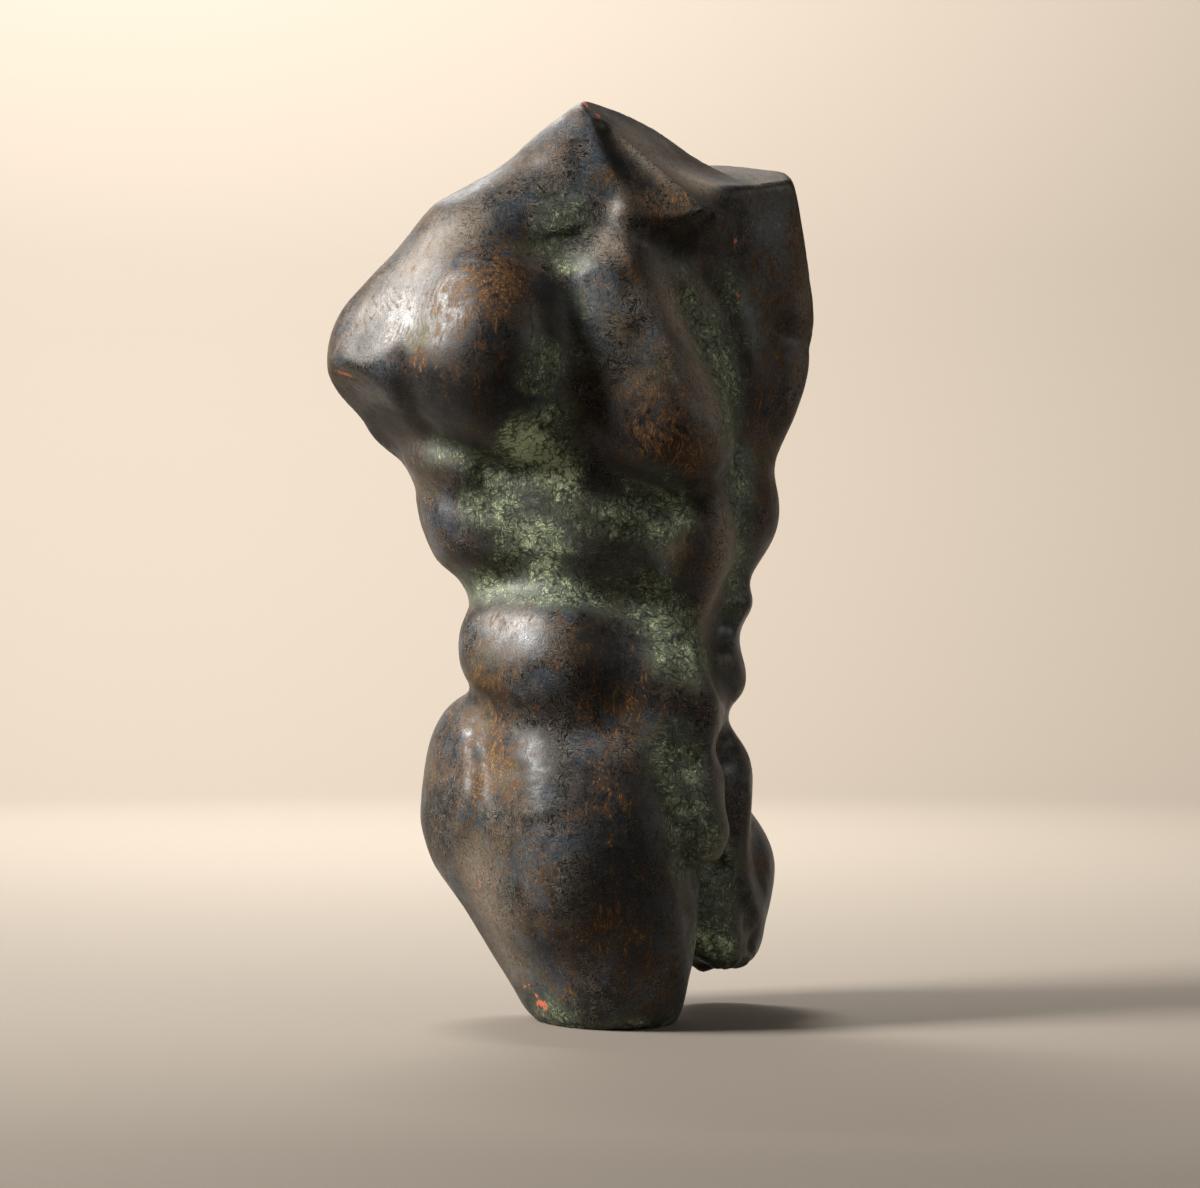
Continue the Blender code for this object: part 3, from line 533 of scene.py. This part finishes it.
# The dark stain kept thick and bare. A few dabs dull the shine on the right hip and breast or lie loosely on
# the back; the others are painted shade, laid in the pit under the collar, the throat, the creases round
# both breasts, the valley by the left armpit, the undersides of the right breast and arm, and down the belly
# and the front of the right thigh.
stain_and_painted_shade = brushed(points, [
    (FRONT, 3.4, 0.8, [(-11.6, 42.4), (-8.4, 43.4), (-5.6, 43.8)]),
    (FRONT, 3.4, 1.2, [(-16.6, 40.2), (-15.0, 38.8), (-12.0, 37.4), (-9.0, 37.0), (-7.4, 36.0)]),
    (FRONT, 5.0, 1.0, [(-15.0, 40.6), (-12.0, 40.4), (-8.6, 40.2), (-5.6, 41.2), (-3.4, 43.8)]),
    (FRONT, 3.0, 0.9, [(-4.0, 48.0), (-3.0, 46.0), (-2.8, 43.6), (-4.0, 41.0)]),
    (FRONT, 4.6, 0.75, [(0.2, 41.6), (0.8, 38.4), (2.4, 35.4), (5.6, 34.6)]),
    (FRONT, 4.8, 1.1, [(-1.4, 27.4), (0.2, 24.8), (1.0, 22.0), (0.4, 19.6)]),
    (FRONT, 6.0, 0.9, [(-1.6, 19.4), (0.2, 14.0), (1.4, 8.0), (1.6, 2.0)]),
    (FRONT, 2.6, 0.8, [(-9.6, 21.4), (-8.4, 19.0), (-7.6, 16.0)]),
    (FRONT, 3.0, 0.85, [(-5.0, 19.6), (-4.8, 15.0)]),
    (FRONT, 3.2, 0.8, [(-10.6, 45.4), (-8.4, 46.4), (-6.0, 46.8)]),
    (FRONT, 3.2, 0.9, [(5.6, 49.6), (7.6, 46.0), (8.8, 42.0), (8.8, 36.0)]),
    (FRONT, 5.0, 0.6, [(10.0, 51.0), (10.6, 46.0), (11.0, 40.0)]),
    (FRONT, 2.0, 1.0, [(-1.2, 58.4), (0.4, 55.8), (2.0, 53.9), (3.8, 53.0)]),
    (FRONT, 2.4, 1.3, [(2.2, 50.2), (4.0, 50.2), (6.0, 50.8)]),
    (BACK, 6.0, 0.6, [(-10.0, 40.0), (-6.0, 30.0)]),
    (BACK, 6.0, 0.6, [(7.0, 36.0), (5.0, 26.0)]),
])
chipped = np.clip(brushed(points, [
    (FRONT, 0.3, 0.75, [(-18.4, 42.3), (-17.3, 41.9), (-16.2, 41.5), (-14.6, 41.2)]),
    (FRONT, 0.5, 1.0, [(-2.2, 60.0), (-1.2, 59.2), (-0.4, 58.0)]),
    (FRONT, 1.3, 1.0, [(-5.4, 3.0), (-4.6, 1.4), (-3.6, 0.2)]),
    (FRONT, 0.6, 0.9, [(-8.6, 9.4), (-8.0, 8.6)]),
    (FRONT, 0.5, 1.0, [(8.8, 49.6), (8.9, 49.2)]),
    (FRONT, 0.6, 1.0, [(10.2, 49.3), (10.4, 48.9)]),
    (FRONT, 0.4, 1.0, [(8.1, 50.8), (8.2, 50.3)]),
    (FRONT, 0.4, 1.0, [(8.4, 47.4), (8.3, 46.9)]),
    (FRONT, 0.4, 1.0, [(8.4, 46.2), (8.6, 45.8)]),
]) + 1.2 * np.clip(crest - 0.5, 0, 1), 0, 1)

off_the_ground = np.clip((points[:, 2] + 0.3) / 0.8, 0, 1)
points = points + (worked(points) * off_the_ground)[:, None] * outward

mesh = bpy.data.meshes.new("fired_torso")
mesh.from_pydata((points * CM).tolist(), [], quads.tolist())
mesh.update()
laid_on = {"verdigris": verdigris, "rubbed": rubbed, "dust_and_painted_light": dust_and_painted_light, "stain_and_painted_shade": stain_and_painted_shade, "chipped": chipped}
for name, amount in laid_on.items():
    layer = mesh.attributes.new(name, "FLOAT", "POINT")
    layer.data.foreach_set("value", amount.astype(np.float32))
clay = bmesh.new()
clay.from_mesh(mesh)
everything = clay.verts[:] + clay.edges[:] + clay.faces[:]
bmesh.ops.bisect_plane(clay, geom=everything, plane_co=GROUND, plane_no=DOWN, clear_outer=True)
bmesh.ops.holes_fill(clay, edges=[edge for edge in clay.edges if edge.is_boundary])
bmesh.ops.recalc_face_normals(clay, faces=clay.faces[:])
clay.to_mesh(mesh)
clay.free()
mesh.shade_smooth()
fired_torso = bpy.data.objects.new("fired_torso", mesh)
bpy.context.scene.collection.objects.link(fired_torso)


# The finish: fired terracotta, stained, powdered, waxed and rubbed. Bare fired clay is matt and orange. The
# stain makes it nearly black and the wax gives it a soft, broad shine, so the eye reads the form by its
# highlights, and sees the powder, the rubbed brown and the scratches as a net of short curled marks.
INK = "#0b0c0e"  # the blue-black stain at its thickest, and the painted shade in hollows, creases and undersides
UMBER = "#271e17"  # the stain where it is thin
STEEL = "#26303a"  # a bluish bloom in the wax
SLATE = "#3c3f44"  # wax worn by handling
TAUPE = "#706759"  # wax and dust in fine scratches
SIENNA = "#3a2513"  # the brown under the black, rubbed through
GOLD = "#7c5e35"  # the brightest scratches in the brown
DUST_AND_LIGHT = "#978a7b"  # a dry greyish film on edges, and painted light on planes turned from the window and on lit ridges
SAGE = "#535b4c"  # the powdered pigment where it is thin
CELADON = "#7d886c"  # where it is thick
CHALK = "#bac6a0"  # and where it is caked on; under the right breast it is laid on thick as painted light against the breast's shadow
CLAY = "#ac5a42"  # fired clay in a chip


def linear(code):
    """A colour given as sRGB hex, as the shader wants it."""
    parts = [int(code[i : i + 2], 16) / 255 for i in (1, 3, 5)]
    return [c / 12.92 if c <= 0.04045 else ((c + 0.055) / 1.055) ** 2.4 for c in parts] + [1.0]


def per(millimetres):
    """The pattern scale that makes a feature about this wide."""
    return 1000.0 / millimetres


finish = bpy.data.materials.new("stained_and_waxed_terracotta")
finish.use_nodes = True
tree = finish.node_tree
wax = tree.nodes["Principled BSDF"]


def add(kind, links=None, out=0, **settings):
    """Adds a node, sets its properties, links or sets its inputs, and gives the output asked for."""
    made = tree.nodes.new("ShaderNode" + kind)
    for name, value in settings.items():
        setattr(made, name, value)
    for socket, value in (links or {}).items():
        if isinstance(value, bpy.types.NodeSocket):
            tree.links.new(value, made.inputs[socket])
        else:
            made.inputs[socket].default_value = value
    return made.outputs[out]


EASED = {"interpolation_type": "SMOOTHSTEP"}  # a range eased in and out: value, from, to, lowest, highest
TIMES = {"operation": "MULTIPLY"}
TIMES_PLUS = {"operation": "MULTIPLY_ADD"}
place = add("TexCoord", out="Object")
laid = {name: add("Attribute", out="Fac", attribute_name=name) for name in laid_on}


def brush_marks(across, along_x, along_z, turn):
    """Short marks of a brush or a rag: a noise drawn out one way, its direction turned about by another."""
    swirl = {"Vector": place, "Scale": per(turn), "Detail": 1.0, "Roughness": 0.5}
    turning = add("TexNoise", swirl, "Color")
    throw = turn * 0.0011
    bent = add("VectorMath", {0: turning, 1: (throw, throw, throw), 2: place}, **TIMES_PLUS)
    drawn = add("VectorMath", {0: bent, 1: (per(along_x), per(across), per(along_z))}, **TIMES)
    return add("TexNoise", {"Vector": drawn, "Scale": 1.0, "Detail": 1.5, "Roughness": 0.6})


def curled_lines(pattern, level, edge, core):
    """Thin curled lines where a pattern passes a level."""
    off = add("Math", {0: pattern, 1: level}, operation="SUBTRACT")
    off = add("Math", {0: off}, operation="ABSOLUTE")
    return add("MapRange", {0: off, 1: edge, 2: core}, **EASED)


def swayed(amount, *patterns):
    """An amount raised and lowered by patterns, each with its strength, about the middle of the pattern."""
    for pattern, strength in patterns:
        middle = add("Math", {0: pattern, 1: 0.5}, operation="SUBTRACT")
        amount = add("Math", {0: middle, 1: strength, 2: amount}, **TIMES_PLUS)
    return amount


# Real scratches are a tenth of a millimetre wide. They are drawn about a millimetre wide, so that they show.
upright = brush_marks(1.0, 0.9, 7.0, 9.0)
level = brush_marks(1.0, 7.0, 0.9, 8.0)
streaks = brush_marks(1.0, 0.9, 11.0, 24.0)
runs = brush_marks(3.0, 2.6, 26.0, 34.0)
patches = add("TexNoise", {"Vector": place, "Scale": per(42.0), "Detail": 5.0, "Roughness": 0.62})
clouds = add("TexNoise", {"Vector": place, "Scale": per(30.0), "Detail": 3.0, "Roughness": 0.55})
mottle = add("TexNoise", {"Vector": place, "Scale": per(9.0), "Detail": 5.0, "Roughness": 0.68})
grain = add("TexNoise", {"Vector": place, "Scale": per(1.6), "Detail": 2.0, "Roughness": 0.5})
sweep = add("TexNoise", {"Vector": place, "Scale": per(8.0), "Detail": 2.0, "Roughness": 0.5})
curl = add("TexNoise", {"Vector": place, "Scale": per(7.5), "Detail": 1.0, "Roughness": 0.6})
brush = add("Mix", {0: add("MapRange", {0: sweep, 1: 0.44, 2: 0.56}, **EASED), 2: level, 3: upright})
wisps = curled_lines(brush, 0.52, 0.045, 0.0)
curls = curled_lines(curl, 0.5, 0.05, 0.01)

# The dark stain, worn and scratched through least where it is thickest. Where the dabs of kept stain lie it
# stays bare and near black, which is painted shade in the hollows, creases and undersides.
stain_and_shade = add("MapRange", {0: swayed(laid["stain_and_painted_shade"], (mottle, 1.2)), 1: 0.25, 2: 0.85}, **EASED)
clear = add("Math", {0: stain_and_shade, 1: -0.8, 2: 1.0}, **TIMES_PLUS)
thin = add("MapRange", {0: patches, 1: 0.46, 2: 0.56, 4: clear}, **EASED)
clear_of_bloom = add("Math", {0: clear, 1: 0.75}, **TIMES)
bloom = add("MapRange", {0: clouds, 1: 0.50, 2: 0.62, 4: clear_of_bloom}, **EASED)
worn = add("MapRange", {0: mottle, 1: 0.42, 2: 0.66, 3: 0.15, 4: 0.8}, **EASED)
worn = add("MapRange", {0: brush, 1: 0.44, 2: 0.70, 4: worn}, **EASED)
worn = add("Math", {0: worn, 1: clear}, **TIMES)
scratched = add("MapRange", {0: mottle, 1: 0.34, 2: 0.62, 3: 0.2, 4: 0.8}, **EASED)
scratched = add("Math", {0: scratched, 1: wisps}, **TIMES)
unfilled = add("Math", {0: stain_and_shade, 1: -0.65, 2: 1.0}, **TIMES_PLUS)
scratched = add("Math", {0: scratched, 1: unfilled}, **TIMES)

# The brown where the stain is rubbed through.
brown = swayed(laid["rubbed"], (mottle, 2.4), (patches, 2.0), (runs, 3.2))
stain = add("MapRange", {0: swayed(brown, (brush, 1.6)), 1: 0.16, 2: 1.02}, **EASED)
gold = add("MapRange", {0: brown, 1: 0.35, 2: 1.2, 4: 0.95}, **EASED)
gold = add("MapRange", {0: streaks, 1: 0.42, 2: 0.74, 4: gold}, **EASED)
half_stain = add("Math", {0: stain, 1: 0.5}, **TIMES)
dark_scratches = add("Math", {0: wisps, 1: half_stain}, **TIMES)
# The dust: a dry film, and painted light where its dabs stand in for light on shaded planes and for
# highlights on ridges.
dust_and_light = add("MapRange", {0: brush, 1: 0.3, 2: 0.7, 3: 0.2, 4: 0.8}, **EASED)
dust_and_light = add("Math", {0: dust_and_light, 1: laid["dust_and_painted_light"]}, **TIMES)

# The green powder, thin over a whole area and caked in spots. Dark lines run scratched and cracked in it.
powder = swayed(laid["verdigris"], (patches, 1.2))
film = add("MapRange", {0: powder, 1: 0.05, 2: 0.7, 4: 0.95}, **EASED)
powder = swayed(powder, (mottle, 2.4), (brush, 2.0))
zone = add("MapRange", {0: laid["verdigris"], 1: 0.12, 2: 0.42}, **EASED)
thick = add("MapRange", {0: powder, 1: 0.45, 2: 1.1, 4: zone}, **EASED)
caked = add("MapRange", {0: powder, 1: 0.9, 2: 1.5, 4: zone}, **EASED)
wash = add("MapRange", {0: brush, 1: 0.3, 2: 0.6, 3: 0.5, 4: 1.0}, **EASED)
wash = add("Math", {0: wash, 1: film}, **TIMES)
most_of_thick = add("Math", {0: thick, 1: 0.95}, **TIMES)
scores = add("Math", {0: film, 1: 0.8}, **TIMES)
scores = add("Math", {0: scores, 1: wisps}, **TIMES)
cracks = add("Math", {0: film, 1: 0.75}, **TIMES)
cracks = add("Math", {0: cracks, 1: curls}, **TIMES)

# Bare clay in the chips.
bare = add("MapRange", {0: mottle, 1: 0.45, 2: 0.62, 4: laid["chipped"]}, **EASED)
bare = add("MapRange", {0: bare, 1: 0.35, 2: 0.6}, **EASED)

# Each layer lies over those before it. The dust layer among them carries painted light as well as dust.
colour = linear(INK)
stains_and_painted_light = [
    (thin, UMBER), (bloom, STEEL), (worn, SLATE), (scratched, TAUPE),
    (stain, SIENNA), (gold, GOLD), (dark_scratches, INK), (dust_and_light, DUST_AND_LIGHT),
    (wash, SAGE), (most_of_thick, CELADON), (caked, CHALK), (scores, INK), (cracks, INK),
    (bare, CLAY),
]
for share, code in stains_and_painted_light:
    colour = add("Mix", {0: share, 6: colour, 7: linear(code)}, out=2, data_type="RGBA")

# Polished stain is smoother than dry powder, dust and rubbed brown.
roughness = add("MapRange", {0: thick, 3: 0.44, 4: 0.66}, **EASED)
roughness = swayed(roughness, (mottle, 0.35), (clouds, -0.5), (brush, 0.5), (runs, 0.15))
rubbed_dry = add("MapRange", {0: brown, 1: 0.3, 2: 1.0}, **EASED)
for dull, rise in ((rubbed_dry, 0.2), (stain_and_shade, 0.14), (laid["dust_and_painted_light"], 0.2), (film, 0.16)):
    roughness = add("Math", {0: dull, 1: rise, 2: roughness}, **TIMES_PLUS)
relief = 0.0
for mark, rise in ((brush, 0.7), (mottle, 0.25), (grain, 0.25)):
    relief = add("Math", {0: mark, 1: rise, 2: relief}, **TIMES_PLUS)
hairs = add("Bump", {"Height": relief, "Strength": 0.22, "Distance": 0.0008})
tree.links.new(colour, wax.inputs["Base Color"])
tree.links.new(roughness, wax.inputs["Roughness"])
tree.links.new(hairs, wax.inputs["Normal"])
# Wax bends light by about 1.45. The shine is low, as on wax rubbed down with a dry cloth.
wax.inputs["IOR"].default_value = 1.45
wax.inputs["Specular IOR Level"].default_value = 0.26
wax.inputs["Coat Weight"].default_value = 0.07
wax.inputs["Coat Roughness"].default_value = 0.38
wax.inputs["Coat IOR"].default_value = 1.45

fired_torso.data.materials.append(finish)
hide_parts("torso")
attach(fired_torso, "root")


# ==========================================================================================================
# The studio: a pale floor that curves up all round into a wall, so that no edge shows behind the torso. It
# is board, bent in one sheet and painted matt warm white, and the torso only stands on it.
# ==========================================================================================================
FLOOR_RADIUS = 2.6
CORNER_RADIUS = 1.0
WALL_HEIGHT = 3.2
UNDER_THE_TORSO = 0.0005  # a hair of air, so that the floor and the underside don't share a plane
PAINT = "#6b655d"  # warm white, in shade wherever a lamp doesn't reach

corner = [(FLOOR_RADIUS + CORNER_RADIUS * math.sin(a), CORNER_RADIUS * (1 - math.cos(a)))
          for a in np.linspace(0, math.pi / 2, 12)]
profile = [(0.0, 0.0), (FLOOR_RADIUS * 0.5, 0.0), *corner, (FLOOR_RADIUS + CORNER_RADIUS, WALL_HEIGHT)]
cove = bmesh.new()
line = [cove.verts.new((r, 0.0, z - UNDER_THE_TORSO)) for r, z in profile]
edges = [cove.edges.new(pair) for pair in zip(line, line[1:])]
round_turn = 2 * math.pi
bmesh.ops.spin(
    cove, geom=line + edges, cent=(0, 0, 0), axis=(0, 0, 1), angle=round_turn, steps=72, use_merge=True
)
bmesh.ops.remove_doubles(cove, verts=cove.verts[:], dist=1e-5)
bmesh.ops.recalc_face_normals(cove, faces=cove.faces[:])
bmesh.ops.reverse_faces(cove, faces=cove.faces[:])
board = bpy.data.meshes.new("studio_floor")
cove.to_mesh(board)
cove.free()
board.shade_smooth()
studio_floor = bpy.data.objects.new("studio_floor", board)
bpy.context.scene.collection.objects.link(studio_floor)

# The paint: matt emulsion, rolled on. It scatters light evenly, so the eye sees tone and no shine.
paint = bpy.data.materials.new("matt_warm_white_paint")
paint.use_nodes = True
paint_shader = paint.node_tree.nodes["Principled BSDF"]
paint_shader.inputs["Base Color"].default_value = linear(PAINT)
paint_shader.inputs["Roughness"].default_value = 0.85
board.materials.append(paint)


# ==========================================================================================================
# Light and camera. One tall soft window light stands high on the left, with a weak fill on the right. Two
# lamps behind the torso light the wall and the torso's back. The camera stands level with the belly.
# ==========================================================================================================
def soft_light(name, spot, aim, size, watts, colour, spread=180):
    """A rectangular diffused lamp, with its light held to a spread in degrees."""
    lamp = bpy.data.lights.new(name, "AREA")
    lamp.shape = "RECTANGLE"
    lamp.size = size[0]
    lamp.size_y = size[1]
    lamp.energy = watts
    lamp.color = linear(colour)[:3]
    lamp.spread = math.radians(spread)
    stand = bpy.data.objects.new(name, lamp)
    bpy.context.scene.collection.objects.link(stand)
    stand.location = spot
    direction = np.array(aim, float) - np.array(spot, float)
    tilt = math.acos(-direction[2] / np.linalg.norm(direction))
    turn = math.atan2(direction[1], direction[0]) - math.pi / 2
    stand.rotation_euler = (tilt, 0, turn)


MIDDLE = (0.0, 0.0, 0.32)
soft_light("window", (-1.85, -0.5, 1.65), MIDDLE, (0.6, 1.0), 36, "#fff9f2", spread=75)
soft_light("side_fill", (2.1, -1.0, 1.3), MIDDLE, (1.2, 1.2), 15, "#fffaf4")
soft_light("wall_wash", (-0.6, 1.2, 2.4), (-0.3, 3.6, 0.8), (0.8, 0.8), 450, "#fff9f2")
soft_light("back_light", (-0.5, 1.7, 2.2), MIDDLE, (1.0, 1.0), 16, "#ffffff")

world = bpy.data.worlds.new("studio_air")
bpy.context.scene.world = world
world.use_nodes = True
air = world.node_tree.nodes["Background"]
air.inputs["Color"].default_value = linear("#f4f6ff")
air.inputs["Strength"].default_value = 0.04

lens = bpy.data.cameras.new("camera")
lens.lens = 80.0
lens.sensor_width = 36.0
camera = bpy.data.objects.new("camera", lens)
bpy.context.scene.collection.objects.link(camera)
camera.location = (0.0, -1.74, 0.243)
camera.rotation_euler = (math.radians(91.117), 0.0, math.radians(0.193))
bpy.context.scene.camera = camera
bpy.context.scene.view_settings.view_transform = "Standard"
